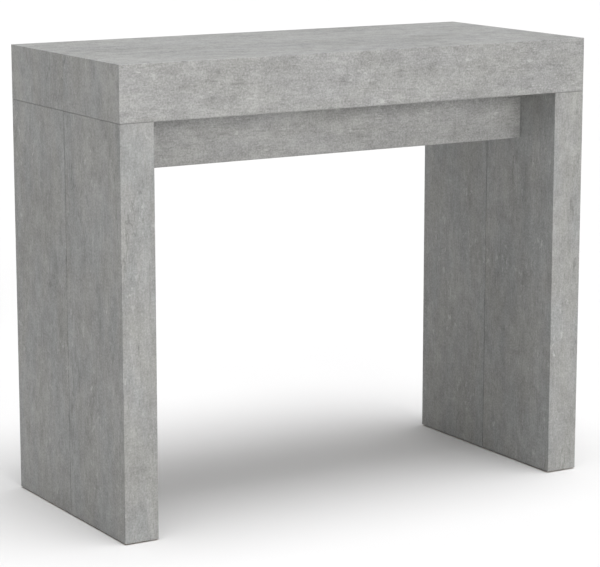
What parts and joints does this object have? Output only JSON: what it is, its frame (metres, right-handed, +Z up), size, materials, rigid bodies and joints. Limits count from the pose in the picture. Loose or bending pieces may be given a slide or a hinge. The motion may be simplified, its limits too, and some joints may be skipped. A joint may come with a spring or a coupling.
{
  "type": "extendable dining table",
  "caption": "Console table with a deep top box and slab legs, split across its depth; the front half pulls out on telescopic rails to make a long dining table.",
  "frame": {"origin": "on the floor, midway between the legs, on the split between the front and rear halves", "axes": "+X to the right along the table's width, +Y towards the wall behind it, +Z up; the front half slides towards -Y"},
  "size_m": [0.9, 0.4, 0.77],
  "materials": {
    "concrete_melamine": "matt melamine with a cloudy grey concrete print and fine pores",
    "raw_chipboard": "raw pressed chips, matt",
    "anodised_aluminium": "extruded and natural anodised, satin",
    "zinc_plated_steel": "pressed sheet, bright zinc plated",
    "beech_dowel": "turned beech, bare",
    "glide_plastic": "moulded grey polyethylene"
  },
  "bodies": {
    "rear_half": {"rear_top_panel": "concrete_melamine", "rear_fascia": "concrete_melamine", "rear_apron": "concrete_melamine", "rear_left_end_panel": "concrete_melamine", "rear_left_leg_cleat": "concrete_melamine", "rear_left_leg_shell": "concrete_melamine", "rear_left_leg_closing_strip": "concrete_melamine", "rear_left_leg_foot_block": "raw_chipboard", "rear_left_leg_top_block": "raw_chipboard", "rear_left_glide": "glide_plastic", "rear_left_rail_bracket": "zinc_plated_steel", "rear_right_end_panel": "concrete_melamine", "rear_right_leg_cleat": "concrete_melamine", "rear_right_leg_shell": "concrete_melamine", "rear_right_leg_closing_strip": "concrete_melamine", "rear_right_leg_foot_block": "raw_chipboard", "rear_right_leg_top_block": "raw_chipboard", "rear_right_glide": "glide_plastic", "rear_right_rail_bracket": "zinc_plated_steel", "left_rail_01": "anodised_aluminium", "right_rail_01": "anodised_aluminium"},
    "front_half": {"front_top_panel": "concrete_melamine", "front_fascia": "concrete_melamine", "front_apron": "concrete_melamine", "front_left_end_panel": "concrete_melamine", "front_left_leg_cleat": "concrete_melamine", "front_left_leg_shell": "concrete_melamine", "front_left_leg_closing_strip": "concrete_melamine", "front_left_leg_foot_block": "raw_chipboard", "front_left_leg_top_block": "raw_chipboard", "front_left_glide": "glide_plastic", "front_left_rail_bracket": "zinc_plated_steel", "front_right_end_panel": "concrete_melamine", "front_right_leg_cleat": "concrete_melamine", "front_right_leg_shell": "concrete_melamine", "front_right_leg_closing_strip": "concrete_melamine", "front_right_leg_foot_block": "raw_chipboard", "front_right_leg_top_block": "raw_chipboard", "front_right_glide": "glide_plastic", "front_right_rail_bracket": "zinc_plated_steel", "left_rail_10": "anodised_aluminium", "right_rail_10": "anodised_aluminium", "left_alignment_pin": "beech_dowel", "right_alignment_pin": "beech_dowel"},
    "rail_stage_02": {"left_rail_02": "anodised_aluminium", "right_rail_02": "anodised_aluminium"},
    "rail_stage_03": {"left_rail_03": "anodised_aluminium", "right_rail_03": "anodised_aluminium"},
    "rail_stage_04": {"left_rail_04": "anodised_aluminium", "right_rail_04": "anodised_aluminium"},
    "rail_stage_05": {"left_rail_05": "anodised_aluminium", "right_rail_05": "anodised_aluminium"},
    "rail_stage_06": {"left_rail_06": "anodised_aluminium", "right_rail_06": "anodised_aluminium"},
    "rail_stage_07": {"left_rail_07": "anodised_aluminium", "right_rail_07": "anodised_aluminium"},
    "rail_stage_08": {"left_rail_08": "anodised_aluminium", "right_rail_08": "anodised_aluminium"},
    "rail_stage_09": {"left_rail_09": "anodised_aluminium", "right_rail_09": "anodised_aluminium"}
  },
  "joints": [
    {"name": "extension_slide", "type": "slide", "parent": "rear_half", "child": "front_half", "axis": [0, -1, 0], "range_m": [0, 2.6]},
    {"name": "rail_slide_02", "type": "slide", "parent": "rear_half", "child": "rail_stage_02", "axis": [0, -1, 0], "range_m": [0, 0.2909]},
    {"name": "rail_slide_03", "type": "slide", "parent": "rear_half", "child": "rail_stage_03", "axis": [0, -1, 0], "range_m": [0, 0.5798]},
    {"name": "rail_slide_04", "type": "slide", "parent": "rear_half", "child": "rail_stage_04", "axis": [0, -1, 0], "range_m": [0, 0.8687]},
    {"name": "rail_slide_05", "type": "slide", "parent": "rear_half", "child": "rail_stage_05", "axis": [0, -1, 0], "range_m": [0, 1.1576]},
    {"name": "rail_slide_06", "type": "slide", "parent": "rear_half", "child": "rail_stage_06", "axis": [0, -1, 0], "range_m": [0, 1.4464]},
    {"name": "rail_slide_07", "type": "slide", "parent": "rear_half", "child": "rail_stage_07", "axis": [0, -1, 0], "range_m": [0, 1.7353]},
    {"name": "rail_slide_08", "type": "slide", "parent": "rear_half", "child": "rail_stage_08", "axis": [0, -1, 0], "range_m": [0, 2.0242]},
    {"name": "rail_slide_09", "type": "slide", "parent": "rear_half", "child": "rail_stage_09", "axis": [0, -1, 0], "range_m": [0, 2.3131]}
  ],
  "couplings": [
    {"joint": "rail_slide_02", "follows": "extension_slide", "ratio": 0.11111},
    {"joint": "rail_slide_03", "follows": "extension_slide", "ratio": 0.22222},
    {"joint": "rail_slide_04", "follows": "extension_slide", "ratio": 0.33333},
    {"joint": "rail_slide_05", "follows": "extension_slide", "ratio": 0.44444},
    {"joint": "rail_slide_06", "follows": "extension_slide", "ratio": 0.55556},
    {"joint": "rail_slide_07", "follows": "extension_slide", "ratio": 0.66667},
    {"joint": "rail_slide_08", "follows": "extension_slide", "ratio": 0.77778},
    {"joint": "rail_slide_09", "follows": "extension_slide", "ratio": 0.88889}
  ]
}
